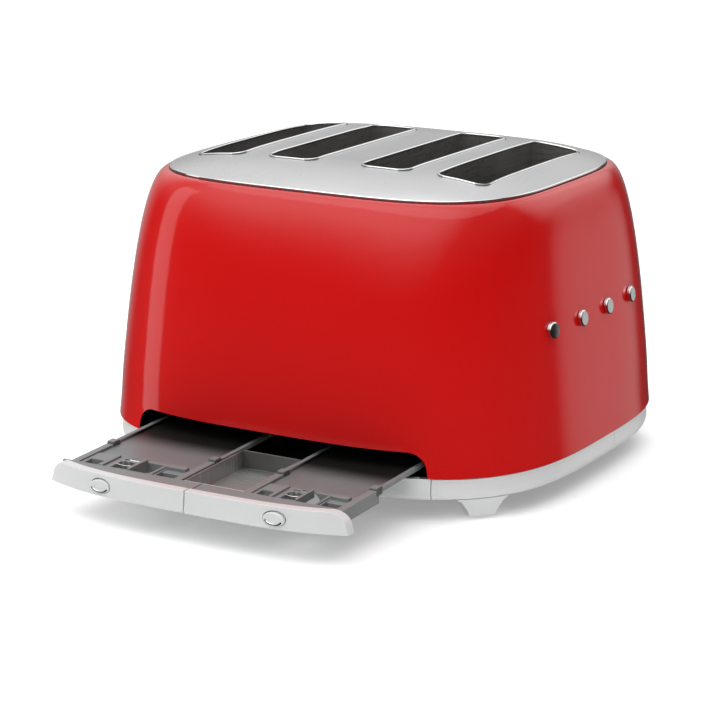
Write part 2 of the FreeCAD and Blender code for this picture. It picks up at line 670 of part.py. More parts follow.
def controls():
    """Circuit board with its parts, two browning dials and six push buttons."""
    front = "board_y - board_thick"
    parts = [block("Board", ("-board_half", "board_half"), (front, "board_y"),
                   ("board_low", "board_high"))]
    for side, sign in SIDES:
        parts.append(block(f"Encoder{side}", (f"{sign}dial_x - 7", f"{sign}dial_x + 7"),
                           (f"{front} - 7", front), ("control_level - 7", "control_level + 7")))
        parts.append(block(f"Relay{side}", (f"{sign}24 - 8", f"{sign}24 + 8"), ("board_y", "board_y + 15"),
                           ("board_low + 4", "board_low + 24")))
        parts.append(block(f"Post{side}", (f"{sign}106 - 4", f"{sign}106 + 4"), (front, "board_y + 6"),
                           ("base_level + base_thick", "board_low + 2")))
        for place in (-1, 0, 1):
            middle = f"{sign}button_x + {place} * button_pitch"
            parts.append(block(f"Switch{side}{place + 1}", (f"{middle} - 4", f"{middle} + 4"),
                               (f"{front} - 5", front), ("control_level - 4", "control_level + 4")))
    node(fuse("ControlBoard", parts), "control_board")
    for side, sign in SIDES:
        dial = turned(f"Dial{side}", [
            ("0", "-dial_front"), ("dial_radius - 2", "-dial_front"), ("dial_radius", "-dial_front - 2"),
            ("dial_radius", "-dial_back"), ("shaft_radius", "-dial_back"),
            ("shaft_radius", "-(board_y - board_thick - 7.4)"), ("0", "-(board_y - board_thick - 7.4)")])
        dial.Placement = FreeCAD.Placement(Vector(), FreeCAD.Rotation(Vector(1, 0, 0), 90))
        bind(dial, x=f"{sign}dial_x", z="control_level")
        node(dial, f"browning_dial_{side}")
        for place in (-1, 0, 1):
            button = turned(f"Button{side}{place + 1}", [
                ("0", "-button_front"), ("button_radius - 1", "-button_front"),
                ("button_radius", "-button_front - 1"), ("button_radius", "-button_front - 14"),
                ("2", "-button_front - 14"), ("2", "-(board_y - board_thick - 5 - button_play)"),
                ("0", "-(board_y - board_thick - 5 - button_play)")])
            button.Placement = FreeCAD.Placement(Vector(), FreeCAD.Rotation(Vector(1, 0, 0), 90))
            bind(button, x=f"{sign}button_x + {place} * button_pitch", z="control_level")
            node(button, f"push_button_{side}_{place + 2}")


# ---------------------------------------------------------------- crumb trays

def pull_out(item):
    """Move a tray piece from where it is pushed home to where it rests, out and a little down."""
    hinge = Vector(0, size("body_depth") / 2, size("front_low"))
    shift = Vector(0, size("tray_travel"), -size("tray_drop"))
    turn = FreeCAD.Rotation(Vector(1, 0, 0), -size("tray_tilt"))
    item.Placement = FreeCAD.Placement(hinge + shift - turn.multVec(hinge), turn)
    return item


def crumb_trays():
    """Two trays side by side: a metal front, a plastic frame, a steel pan and a push button."""
    plug = arch("FrontPlug", "arch_gap", "front_low", "body_depth")
    gap = size("front_gap")
    bar = shaped("FrontBar", casing_solid(gap).cut(casing_solid(gap + size("front_thick"))))
    behind = shaped("FrameLimit", casing_solid(gap + size("front_thick") + 0.3))
    proud = shaped("PushBar", casing_solid(gap - size("push_proud")).cut(
        casing_solid(size("push_deep"))))
    whole = common("FrontWhole", bar, plug)
    for side, sign in SIDES:
        half = ("front_seam", "body_width / 2") if sign == "+" else ("-body_width / 2", "-front_seam")
        window = block(f"FrontHalf{side}", half, ("0", "body_depth"), ("0", "arch_top + 10"))
        front = common(f"FrontPiece{side}", whole, window)
        hole = oval(f"PushHole{side}", f"{sign}push_x", "push_gap")
        node(pull_out(cut(f"Front{side}", front, [hole])), f"tray_front_{side}")
        button = common(f"Push{side}", oval(f"PushOval{side}", f"{sign}push_x", "0"), proud)
        node(pull_out(button), f"tray_button_{side}")
        tray_frame(side, behind, half)
        tray_pan(side)
    centre_bin()


def oval(name, middle, grow):
    """An oval bar along Y at one tray button."""
    ellipse = document.addObject("Part::Ellipse", name + "Edge")
    ellipse.Placement = FreeCAD.Placement(Vector(), FreeCAD.Rotation(Vector(1, 0, 0), 90))
    bind(ellipse, MajorRadius=f"push_half + {grow}", MinorRadius=f"push_half_high + {grow}",
         x=middle, y="100", z="push_level")
    bar = document.addObject("Part::Extrusion", name)
    bar.Base = ellipse
    bar.DirMode = "Custom"
    bar.Dir = Vector(0, 1, 0)
    bar.Solid = True
    bar.LengthFwd = 100
    return bar


def tray_edges(side):
    """The outer and inner limits of one frame, low X first."""
    if side == "left":
        return ("left_inner", "left_outer")
    return ("right_outer", "right_inner")


def tray_frame(side, behind, half):
    """The plastic frame: a strip behind the front, a pocketed bridge, two arms and two rails."""
    low, high = tray_edges(side)
    strip_ends = (half[0], "left_outer + 6") if side == "left" else ("right_outer", half[1])
    strip = common(f"Strip{side}", block(f"StripBlock{side}", strip_ends, ("strip_front", "body_depth / 2"),
                                         ("frame_low", "frame_top")), behind)
    bridge = block(f"Bridge{side}", (low, high), ("strip_back", "strip_front + 1"),
                   ("frame_low", "frame_top - 1"))
    parts = [strip, bridge]
    for name, edge, inward in (("Low", low, 1), ("High", high, -1)):
        arm = (edge, f"{edge} + arm_wide") if inward == 1 else (f"{edge} - arm_wide", edge)
        rail = (edge, f"{edge} + rail_wide") if inward == 1 else (f"{edge} - rail_wide", edge)
        parts.append(block(f"Arm{side}{name}", arm, ("arm_back", "strip_front + 1"),
                           ("frame_low", "frame_top")))
        parts.append(block(f"Rail{side}{name}", rail, ("tray_back", "arm_back + 1"),
                           ("rail_low", "frame_top")))
        parts.append(block(f"Stop{side}{name}", arm, ("arm_back - 3", "arm_back + 3"),
                           ("rail_low", "frame_top + stop_proud")))
    pockets = []
    bay = f"({high} - {low} - 2 * arm_wide)"
    for index, (start, end) in enumerate(((0.04, 0.25), (0.31, 0.47), (0.54, 0.72), (0.78, 0.97))):
        span = (f"{high} - arm_wide - {bay} * {end}", f"{high} - arm_wide - {bay} * {start}")
        pockets.append(block(f"Pocket{side}{index}", span, ("strip_back + 3", "strip_front"),
                             ("frame_low + 2", "frame_top + 5")))
    clear = oval(f"FrameClear{side}", f"{'+' if side == 'left' else '-'}push_x", "1.2")
    frame = cut(f"Frame{side}", fuse(f"FrameWhole{side}", parts), pockets + [clear])
    node(pull_out(frame), f"tray_frame_{side}")


def tray_pan(side):
    """The steel pan that catches the crumbs, its sides turned up between the rails."""
    low, high = tray_edges(side)
    inner = (f"{low} + rail_wide + 0.2", f"{high} - rail_wide - 0.2")
    back, front = "tray_back", "arm_back - 3.2"
    outer = block(f"PanBlock{side}", inner, (back, front), ("pan_level", "pan_level + pan_side"))
    hollow = block(f"PanHollow{side}", (f"{inner[0]} + pan_thick", f"{inner[1]} - pan_thick"),
                   (f"{back} + pan_thick", f"{front} + 1"), ("pan_level + pan_thick", "pan_level + 20"))
    apron = block(f"PanApron{side}", (f"{low} + arm_wide + 0.2", f"{high} - arm_wide - 0.2"),
                  (f"{front} - 1", "strip_back - 0.2"), ("pan_level", "pan_level + pan_thick"))
    pan = fuse(f"Pan{side}", [cut(f"PanOpen{side}", outer, [hollow]), apron])
    node(pull_out(pan), f"tray_pan_{side}")


def centre_bin():
    """A small steel bin between the two frames, carried by the right-hand tray."""
    ends = ("right_inner + 0.2", "left_inner - 2")
    outer = block("BinBlock", ends, ("bin_back", "strip_front - 0.3"), ("bin_low", "frame_top"))
    hollow = block("BinHollow", (f"{ends[0]} + pan_thick", f"{ends[1]} - pan_thick"),
                   ("bin_back + pan_thick", "strip_front - 0.3 - pan_thick"),
                   ("bin_low + pan_thick", "frame_top + 5"))
    node(pull_out(cut("Bin", outer, [hollow])), "tray_centre_bin")


# ---------------------------------------------------------------- build, check and write

casing()
top_plate()
side_studs()
band()
foot_pads()
base_plate()
bulkheads()
heater_boards()
bread_guides()
carriages()
controls()
crumb_trays()
document.recompute()

for item in document.Objects:
    if "Invalid" in item.State or "Error" in item.State:
        raise RuntimeError(f"{item.Label} failed: {item.State}")
for item in NODES:
    if item.Shape.isNull() or not item.Shape.isValid():
        raise RuntimeError(f"{item.Label} has no valid shape")

os.makedirs("parts", exist_ok=True)
for item in NODES:
    item.Shape.exportStep(os.path.join("parts", item.Label + ".step"))
    print(item.Label, len(item.Shape.Solids), "solid(s)", round(item.Shape.Volume), "mm3")
print(len(NODES), "sub-parts")
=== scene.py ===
# %% [markdown]
# A four-slot toaster, dressed around its imported CAD model.
# The CAD nodes arrive in metres, each with its place in its mesh.  The cells below light the object,
# give every node a finish, and then replace or add the pieces whose look needs more than the plain
# solids have.

import json
import math

import bpy
from mathutils import Matrix, Vector


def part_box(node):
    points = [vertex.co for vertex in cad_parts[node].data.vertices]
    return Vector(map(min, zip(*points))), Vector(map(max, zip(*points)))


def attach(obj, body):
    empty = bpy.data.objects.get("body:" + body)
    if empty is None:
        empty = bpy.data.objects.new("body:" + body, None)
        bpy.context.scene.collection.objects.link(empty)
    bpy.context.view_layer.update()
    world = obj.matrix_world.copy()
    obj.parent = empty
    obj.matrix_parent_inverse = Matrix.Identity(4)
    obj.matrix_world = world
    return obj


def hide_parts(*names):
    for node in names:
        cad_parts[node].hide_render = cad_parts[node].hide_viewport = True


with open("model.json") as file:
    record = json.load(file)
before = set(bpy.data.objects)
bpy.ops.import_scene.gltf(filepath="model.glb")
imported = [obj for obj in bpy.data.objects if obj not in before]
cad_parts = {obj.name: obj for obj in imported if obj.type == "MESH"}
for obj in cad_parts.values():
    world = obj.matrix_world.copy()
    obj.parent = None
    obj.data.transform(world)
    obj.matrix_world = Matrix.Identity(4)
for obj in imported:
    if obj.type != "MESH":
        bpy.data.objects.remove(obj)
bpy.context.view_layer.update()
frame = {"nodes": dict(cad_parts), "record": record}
NODES = frame["nodes"]
MM = 0.001

# %% [markdown]
# The camera looks at the corner between the tray side and one studded side, from a little above.
# A long lens far away keeps the upright edges nearly parallel, as in a catalogue picture.
# The camera is placed from a target, two angles and a distance, because those four can be read
# and changed one at a time.

# %% Camera
def place_camera(target, azimuth, elevation, distance, roll, focal_in_widths):
    """Put a camera round a target; azimuth 0 looks along +Y, focal_in_widths is lens over sensor."""
    data = bpy.data.cameras.new("camera")
    camera = bpy.data.objects.new("camera", data)
    bpy.context.scene.collection.objects.link(camera)
    turn, tilt = math.radians(azimuth), math.radians(elevation)
    level = math.cos(tilt)
    back = Vector((math.sin(turn) * level, -math.cos(turn) * level, math.sin(tilt)))
    camera.location = Vector(target) + back * distance
    aim = (-back).to_track_quat("-Z", "Y").to_matrix()
    spin = Matrix.Rotation(math.radians(roll), 3, "Z")
    camera.rotation_euler = (aim @ spin).to_euler()
    data.sensor_width = 36
    data.lens = 36 * focal_in_widths
    data.clip_end = 20
    bpy.context.scene.camera = camera
    return camera


camera = place_camera(target=(0.0174, 0.0098, 0.0601), azimuth=209.54, elevation=14.71,
                      distance=1.7722, roll=0.37, focal_in_widths=3.4622)
print("camera at", tuple(round(v, 3) for v in camera.location))

# %% [markdown]
# The studio is a white table under a wide soft sun, one upright panel and a painted sky.  Gloss
# red goes pink wherever it mirrors something white, so the sky is dark near the horizon and
# bright overhead, and it has four soft glows: one behind the camera that lights the tray side,
# one behind the object that whitens the steel plate, and two small ones that draw a pale band
# and a pale shoulder on the studded side.  A sky is used for these because its edges can fade,
# which a lamp's can't.
# The table is hidden from mirror rays for the same reason; it still lights the object from below.

# %% Lights
def soft_box(name, place, aim, width, height, watts):
    """A rectangular light that faces a point."""
    data = bpy.data.lights.new(name, "AREA")
    data.shape = "RECTANGLE"
    data.size, data.size_y, data.energy = width, height, watts
    lamp = bpy.data.objects.new(name, data)
    bpy.context.scene.collection.objects.link(lamp)
    lamp.location = place
    lamp.rotation_euler = (Vector(aim) - Vector(place)).to_track_quat("-Z", "Y").to_euler()
    return lamp


soft_box("corner_strip", (1.066, 0.5, 0.2), (0.13, 0.15, 0.12), 0.3, 1.4, 1.5)
sun = bpy.data.lights.new("wide_sun", "SUN")
sun.energy = 1.05
sun.angle = math.radians(80)
bpy.context.scene.collection.objects.link(bpy.data.objects.new("wide_sun", sun))
print("lights", [light.name for light in bpy.data.lights])

# %% Sky
HORIZON_LIGHT, ZENITH_LIGHT = 0.035, 0.62
SHADY_SIDE = 0.35
GLOWS = {                     # direction, cosines where the glow starts and is full, strength
    "behind_camera": ((0.1, 0.55, 0.83), 0.62, 0.95, 1.0),
    "behind_object": ((0.6, -0.72, 0.35), 0.66, 0.92, 0.42),
    "side_band": ((-0.42, -0.89, -0.15), 0.95, 0.995, 0.5),
    "far_shoulder": ((-0.36, -0.82, 0.45), 0.9, 0.985, 1.0),
}


def sky_ramp(nodes, links, source, low_at, high_at, low, high):
    """A smooth step of one value, as a node output."""
    ramp = nodes.new("ShaderNodeMapRange")
    ramp.interpolation_type = "SMOOTHSTEP"
    ramp.inputs["From Min"].default_value = low_at
    ramp.inputs["From Max"].default_value = high_at
    ramp.inputs["To Min"].default_value = low
    ramp.inputs["To Max"].default_value = high
    links.new(source, ramp.inputs["Value"])
    return ramp.outputs["Result"]


def sky_math(nodes, links, operation, one, two):
    """Two values added or multiplied, as a node output."""
    step = nodes.new("ShaderNodeMath")
    step.operation = operation
    links.new(one, step.inputs[0])
    links.new(two, step.inputs[1])
    return step.outputs["Value"]


def paint_sky():
    """A background whose strength depends only on direction."""
    world = bpy.data.worlds.new("studio")
    bpy.context.scene.world = world
    world.use_nodes = True
    nodes, links = world.node_tree.nodes, world.node_tree.links
    place = nodes.new("ShaderNodeTexCoord").outputs["Generated"]
    split = nodes.new("ShaderNodeSeparateXYZ")
    links.new(place, split.inputs["Vector"])
    height = sky_ramp(nodes, links, split.outputs["Z"], 0.08, 0.55, HORIZON_LIGHT, ZENITH_LIGHT)
    across = sky_ramp(nodes, links, split.outputs["X"], -0.9, 0.3, SHADY_SIDE, 1.0)
    total = sky_math(nodes, links, "MULTIPLY", height, across)
    for direction, start, full, strength in GLOWS.values():
        facing = nodes.new("ShaderNodeVectorMath")
        facing.operation = "DOT_PRODUCT"
        facing.inputs[1].default_value = Vector(direction).normalized()
        links.new(place, facing.inputs[0])
        glow = sky_ramp(nodes, links, facing.outputs["Value"], start, full, 0.0, strength)
        total = sky_math(nodes, links, "ADD", total, glow)
    nodes["Background"].inputs["Color"].default_value = (1, 1, 1, 1)
    links.new(total, nodes["Background"].inputs["Strength"])
    bpy.context.scene.view_settings.view_transform = "Standard"


paint_sky()

# %% [markdown]
# Every finish is a small tree of nodes on Object coordinates: a fine pattern for grain and bump
# and a broad one for the slow change of tone that real surfaces have.  The patterns and the two
# tones are all that differ from one finish to the next, so one helper builds the tree and each
# finish is one call.

# %% Helper for finishes
def finish(name, light, dark, grain, stretch=(1, 1, 1), rough=(0.3, 0.4), bump=0.1, depth=0.0002,
           broad=14.0, metallic=0.0, **sockets):
    """A Principled material with two mixed tones, a range of roughness and a bump."""
    material = bpy.data.materials.new(name)
    material.use_nodes = True
    nodes, links = material.node_tree.nodes, material.node_tree.links
    shader = nodes["Principled BSDF"]
    place = nodes.new("ShaderNodeTexCoord")
    mapping = nodes.new("ShaderNodeMapping")
    mapping.inputs["Scale"].default_value = stretch
    links.new(place.outputs["Object"], mapping.inputs["Vector"])
    fine = nodes.new("ShaderNodeTexNoise")
    fine.inputs["Scale"].default_value = grain
    fine.inputs["Detail"].default_value = 6.0
    links.new(mapping.outputs["Vector"], fine.inputs["Vector"])
    slow = nodes.new("ShaderNodeTexNoise")
    slow.inputs["Scale"].default_value = broad
    slow.inputs["Detail"].default_value = 3.0
    links.new(place.outputs["Object"], slow.inputs["Vector"])
    both = nodes.new("ShaderNodeMath")
    both.operation = "MULTIPLY"
    links.new(fine.outputs["Fac"], both.inputs[0])
    links.new(slow.outputs["Fac"], both.inputs[1])
    spread = nodes.new("ShaderNodeMapRange")
    spread.name = "spread"
    spread.inputs["From Min"].default_value = 0.12
    spread.inputs["From Max"].default_value = 0.42
    links.new(both.outputs["Value"], spread.inputs["Value"])
    tone = nodes.new("ShaderNodeMix")
    tone.name = "tone"
    tone.data_type = "RGBA"
    colour_in = [socket for socket in tone.inputs if socket.type == "RGBA"]
    colour_in[0].default_value = (*dark, 1)
    colour_in[1].default_value = (*light, 1)
    links.new(spread.outputs["Result"], tone.inputs["Factor"])
    result = next(socket for socket in tone.outputs if socket.type == "RGBA")
    links.new(result, shader.inputs["Base Color"])
    gloss = nodes.new("ShaderNodeMapRange")
    gloss.inputs["To Min"].default_value = rough[0]
    gloss.inputs["To Max"].default_value = rough[1]
    links.new(spread.outputs["Result"], gloss.inputs["Value"])
    links.new(gloss.outputs["Result"], shader.inputs["Roughness"])
    relief = nodes.new("ShaderNodeBump")
    relief.inputs["Strength"].default_value = bump
    relief.inputs["Distance"].default_value = depth
    links.new(fine.outputs["Fac"], relief.inputs["Height"])
    links.new(relief.outputs["Normal"], shader.inputs["Normal"])
    shader.inputs["Metallic"].default_value = metallic
    for socket, value in sockets.items():
        shader.inputs[socket.replace("_", " ")].default_value = value
    return material


# %% [markdown]
# The casing is pressed steel, enamelled outside.  The colour lies deep under a clear gloss, so
# the base has hardly any gloss of its own and the coat has nearly all of it, with the faintest
# orange peel.  The shell is one solid with an inside, and wherever its surface faces the middle of
# the toaster the same finish turns nearly black: painted shade for the dark inside of the casing.

# %% Enamel
def paint_shade_inside(material, inner):
    """Paint shade on a casing finish: nearly black wherever the surface faces the upright axis."""
    nodes, links = material.node_tree.nodes, material.node_tree.links
    place = nodes.new("ShaderNodeTexCoord")
    flat = nodes.new("ShaderNodeVectorMath")
    flat.operation = "MULTIPLY"
    flat.inputs[1].default_value = (1, 1, 0)
    links.new(place.outputs["Object"], flat.inputs[0])
    facing = nodes.new("ShaderNodeVectorMath")
    facing.operation = "DOT_PRODUCT"
    links.new(flat.outputs["Vector"], facing.inputs[0])
    links.new(place.outputs["Normal"], facing.inputs[1])
    inside = nodes.new("ShaderNodeMath")
    inside.operation = "LESS_THAN"
    inside.inputs[1].default_value = -0.01
    links.new(facing.outputs["Value"], inside.inputs[0])
    choose = nodes.new("ShaderNodeMix")
    choose.data_type = "RGBA"
    colours = [socket for socket in choose.inputs if socket.type == "RGBA"]
    outside = next(socket for socket in nodes["tone"].outputs if socket.type == "RGBA")
    links.new(inside.outputs["Value"], choose.inputs["Factor"])
    links.new(outside, colours[0])
    colours[1].default_value = (*inner, 1)
    result = next(socket for socket in choose.outputs if socket.type == "RGBA")
    links.new(result, nodes["Principled BSDF"].inputs["Base Color"])


ENAMEL = finish("red_enamel", (0.60, 0.0055, 0.005), (0.56, 0.0045, 0.004), grain=900, bump=0.02,
                rough=(0.28, 0.34), broad=5, Specular_IOR_Level=0.05, Coat_Weight=1.0,
                Coat_Roughness=0.09, Coat_IOR=1.5)
# The near-black tone on the inner faces is painted shade.
paint_shade_inside(ENAMEL, (0.008, 0.007, 0.006))
print("finish", ENAMEL.name)

# %% [markdown]
# The metals differ in how they were worked: the plate is brushed along the slots, the band and
# the tray fronts are cast and blasted to a satin, and the rims, studs and knobs are polished.
# The pans are thin rolled steel, which shows faint drawn lines.  The pans, the tray fronts and
# the band lean a little to blue-green, to offset the red light that the casing throws on them.

# %% Metals
PLATE_STEEL = finish("plate_steel", (0.60, 0.60, 0.61), (0.555, 0.555, 0.56), grain=40,
                     stretch=(60, 1.5, 20), rough=(0.27, 0.32), bump=0.012, metallic=0.9)
POLISHED = finish("polished_steel", (0.82, 0.82, 0.82), (0.75, 0.75, 0.75), grain=300,
                  rough=(0.05, 0.1), bump=0.01, metallic=1.0)
SATIN = finish("satin_alloy", (0.83, 0.845, 0.845), (0.79, 0.805, 0.805), grain=1100,
               rough=(0.32, 0.42), bump=0.06, metallic=0.12)
FRONT_ALLOY = finish("front_alloy", (0.73, 0.74, 0.74), (0.69, 0.70, 0.70), grain=1100,
                     rough=(0.30, 0.42), bump=0.05, metallic=0.12)
PAN_STEEL = finish("pan_steel", (0.22, 0.25, 0.255), (0.18, 0.207, 0.212), grain=40,
                   stretch=(14, 1, 14), rough=(0.34, 0.44), bump=0.05, metallic=0.25)
BIN_STEEL = finish("bin_steel", (0.48, 0.49, 0.485), (0.36, 0.365, 0.36), grain=50,
                   stretch=(1, 10, 1), rough=(0.2, 0.32), bump=0.05, metallic=0.45)
WIRE_STEEL = finish("wire_steel", (0.60, 0.59, 0.57), (0.40, 0.38, 0.35), grain=500,
                    rough=(0.18, 0.32), bump=0.05, metallic=1.0)
LINER_STEEL = finish("liner_steel", (0.30, 0.29, 0.28), (0.20, 0.195, 0.19), grain=60,
                     stretch=(1, 1, 8), rough=(0.25, 0.36), bump=0.03, metallic=0.5)
# The zinc gets a tone far darker than bare zinc: painted shade for the inside of the toaster, where
# most zinc parts sit.
SHADED_ZINC = finish("zinc_sheet", (0.15, 0.145, 0.135), (0.08, 0.078, 0.072), grain=70,
              rough=(0.35, 0.55), bump=0.1, broad=50, metallic=0.85)
IRON = finish("magnet_iron", (0.10, 0.09, 0.08), (0.05, 0.045, 0.04), grain=300,
              rough=(0.5, 0.7), bump=0.2, metallic=0.6)
WINDING = finish("heater_ribbon", (0.20, 0.16, 0.13), (0.10, 0.08, 0.07), grain=300,
                 rough=(0.35, 0.5), bump=0.08, metallic=0.9)

# %% [markdown]
# Towards the arch the pans and the bin go nearly black.  Some of that is steel browned under the
# heaters and most is the casing's own shade, which this wide soft light fills in too much.  So the
# finish carries it as painted shade with some burn, a smooth change along Y on top of the drawn
# steel: how much of it is burn is a guess.  It needs no map and moves with the tray.

# %% Painted shade and burn on the back of the pans
def shade_and_burn_behind(material, dark, black_at, full_tone_at):
    """Blend a finish into a dark tone along Y, painted shade with some burn, between two places in
    millimetres.
    """
    nodes, links = material.node_tree.nodes, material.node_tree.links
    split = nodes.new("ShaderNodeSeparateXYZ")
    links.new(nodes.new("ShaderNodeTexCoord").outputs["Object"], split.inputs["Vector"])
    shade_and_burn_ramp = nodes.new("ShaderNodeMapRange")
    shade_and_burn_ramp.interpolation_type = "SMOOTHSTEP"
    shade_and_burn_ramp.inputs["From Min"].default_value = black_at * MM
    shade_and_burn_ramp.inputs["From Max"].default_value = full_tone_at * MM
    links.new(split.outputs["Y"], shade_and_burn_ramp.inputs["Value"])
    choose = nodes.new("ShaderNodeMix")
    choose.data_type = "RGBA"
    colours = [socket for socket in choose.inputs if socket.type == "RGBA"]
    own_tone = next(socket for socket in nodes["tone"].outputs if socket.type == "RGBA")
    links.new(shade_and_burn_ramp.outputs["Result"], choose.inputs["Factor"])
    colours[0].default_value = (*dark, 1)
    links.new(own_tone, colours[1])
    result = next(socket for socket in choose.outputs if socket.type == "RGBA")
    links.new(result, nodes["Principled BSDF"].inputs["Base Color"])


# The pans and the bin go dark towards the back: painted shade with some burn.
shade_and_burn_behind(PAN_STEEL, (0.012, 0.011, 0.010), black_at=168, full_tone_at=196)
shade_and_burn_behind(BIN_STEEL, (0.10, 0.098, 0.095), black_at=166, full_tone_at=186)

# %% [markdown]
# The tray frames are a grey moulding with a spark-eroded texture, the base plate is painted
# black, the pads and the gland are black rubber, and the heater boards are pressed mica.

# %% Plastics, rubber and boards
FRAME_GREY = finish("frame_grey", (0.235, 0.25, 0.25), (0.195, 0.205, 0.205), grain=1800,
                    rough=(0.42, 0.55), bump=0.15)
CLIP_GREY = finish("clip_grey", (0.10, 0.098, 0.095), (0.07, 0.068, 0.065), grain=1500,
                   rough=(0.4, 0.5), bump=0.12)
BLACK_PAINT = finish("black_paint", (0.016, 0.016, 0.016), (0.010, 0.010, 0.010), grain=1200,
                     rough=(0.5, 0.65), bump=0.2)
RUBBER = finish("black_rubber", (0.03, 0.03, 0.03), (0.018, 0.018, 0.018), grain=900,
                rough=(0.7, 0.9), bump=0.25)
MICA = finish("mica_board", (0.20, 0.17, 0.13), (0.10, 0.085, 0.065), grain=350,
              rough=(0.45, 0.7), bump=0.12)
LAMINATE = finish("board_laminate", (0.03, 0.15, 0.06), (0.02, 0.10, 0.04), grain=400,
                  rough=(0.35, 0.5), bump=0.1)
FLOOR_WHITE = finish("floor_white", (0.90, 0.90, 0.90), (0.885, 0.885, 0.885), grain=30,
                     rough=(0.8, 0.9), bump=0.0, Specular_IOR_Level=0.0,
                     Emission_Color=(1, 1, 1, 1), Emission_Strength=0.3)
print("finishes", len(bpy.data.materials))

# %% Give the CAD nodes their finishes
FINISH_OF = {
    "body_shell": ENAMEL, "top_plate": PLATE_STEEL, "slot_collars": LINER_STEEL,
    "side_studs": POLISHED, "base_band": SATIN, "foot_pad": RUBBER, "base_plate": BLACK_PAINT,
    "cord_gland": RUBBER, "bulkhead": SHADED_ZINC, "heater_board": MICA, "guide_rod": WIRE_STEEL,
    "return_spring": WIRE_STEEL, "electromagnet": IRON, "control_board": LAMINATE,
    "bread_guide": WIRE_STEEL, "bread_rests": WIRE_STEEL, "carriage": SHADED_ZINC,
    "lever_knob": POLISHED, "browning_dial": POLISHED, "push_button": POLISHED,
    "tray_front": FRONT_ALLOY, "tray_button": SATIN, "tray_frame": FRAME_GREY,
    "tray_pan": PAN_STEEL, "tray_centre_bin": BIN_STEEL,
}


def finish_for(node_name):
    return next(material for start, material in FINISH_OF.items() if node_name.startswith(start))


for node_name, item in NODES.items():
    item.data.materials.clear()
    item.data.materials.append(finish_for(node_name))
print("finished", len(NODES), "CAD nodes")

# %% Table
bpy.ops.object.select_all(action="DESELECT")
bpy.ops.mesh.primitive_plane_add(size=40, location=(0, 0, -0.0002))
table = bpy.context.object
table.name = "table"
table.data.materials.append(FLOOR_WHITE)
table.visible_glossy = False

# %% [markdown]
# These helpers do what a hand would do with a mesh in edit mode.  `softened` takes a copy of a
# CAD node, joins its loose triangles into clean faces and rounds its sharp edges, because a real
# edge always catches a line of light.  `wires` draws round wires along paths, and `bead` draws
# one.  `settle` finishes a piece: its faces smooth, its place in its mesh, its body and its slot
# known.  A curve with a bevel was chosen for the wires because its section stays round on any
# path.

# %% Helpers for pieces
MERGE_UNDER = 0.002      # millimetres
FLAT_UNDER = 0.2         # degrees


def select_only(piece):
    bpy.ops.object.select_all(action="DESELECT")
    piece.select_set(True)
    bpy.context.view_layer.objects.active = piece


def settle(piece, name, body, material, smooth_under=35):
    """Name a finished piece, fix its place in its mesh, shade it and let it ride."""
    select_only(piece)
    bpy.ops.object.transform_apply(location=True, rotation=True, scale=True)
    bpy.ops.object.shade_smooth_by_angle(angle=math.radians(smooth_under))
    piece.name = piece.data.name = name
    piece.data.materials.clear()
    piece.data.materials.append(material)
    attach(piece, body)
    return piece


def bevel_edges(piece, width, segments=2, sharper_than=30):
    """Round the sharp edges of a piece with a Bevel modifier, and apply it."""
    select_only(piece)
    bevel = piece.modifiers.new("soft_edges", "BEVEL")
    bevel.width = width * MM
    bevel.segments = segments
    bevel.limit_method = "ANGLE"
    bevel.angle_limit = math.radians(sharper_than)
    bpy.ops.object.modifier_apply(modifier=bevel.name)
    even = piece.modifiers.new("even_normals", "WEIGHTED_NORMAL")
    even.keep_sharp = True
    bpy.ops.object.modifier_apply(modifier=even.name)


def softened(node_name, name, body, material, width, segments=2):
    """Replace a CAD node with a copy whose faces are joined and whose edges are rounded."""
    mesh = NODES[node_name].data.copy()
    piece = bpy.data.objects.new(name, mesh)
    bpy.context.scene.collection.objects.link(piece)
    select_only(piece)
    bpy.ops.mesh.customdata_custom_splitnormals_clear()
    bpy.ops.object.mode_set(mode="EDIT")
    bpy.ops.mesh.select_all(action="SELECT")
    bpy.ops.mesh.remove_doubles(threshold=MERGE_UNDER * MM)
    bpy.ops.mesh.dissolve_limited(angle_limit=math.radians(FLAT_UNDER))
    bpy.ops.object.mode_set(mode="OBJECT")
    settle(piece, name, body, material)
    bevel_edges(piece, width, segments)
    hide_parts(node_name)
    print(name, len(piece.data.polygons), "faces")
    return piece


def bead(name, points, radius, body, material, closed=True, sides=3):
    """A round wire along a list of points, in metres."""
    return wires(name, [points], radius, body, material, closed, sides)


def wires(name, paths, radius, body, material, closed=True, sides=3):
    """One piece made of a round wire along each path, in metres."""
    bpy.ops.object.select_all(action="DESELECT")
    curve = bpy.data.curves.new(name, "CURVE")
    curve.dimensions = "3D"
    for points in paths:
        spline = curve.splines.new("POLY")
        spline.points.add(len(points) - 1)
        for point, place in zip(spline.points, points):
            point.co = (*place, 1)
        spline.use_cyclic_u = closed
    curve.bevel_depth = radius * MM
    curve.bevel_resolution = sides
    curve.use_fill_caps = not closed
    piece = bpy.data.objects.new(name, curve)
    bpy.context.scene.collection.objects.link(piece)
    select_only(piece)
    bpy.ops.object.convert(target="MESH")
    piece = bpy.context.object
    bpy.ops.object.mode_set(mode="EDIT")
    bpy.ops.mesh.select_all(action="SELECT")
    bpy.ops.mesh.normals_make_consistent(inside=False)
    bpy.ops.object.mode_set(mode="OBJECT")
    return settle(piece, name, body, material, smooth_under=60)


# %% [markdown]
# The casing's outline is a rounded square whose sides all bulge: |x/a|^n + |y/b|^n = 1.  The
# beads and seals that follow it are wires along that curve.  The first is the rolled rim of
# the top plate, which is polished; below it a black seal closes the joint to the casing.

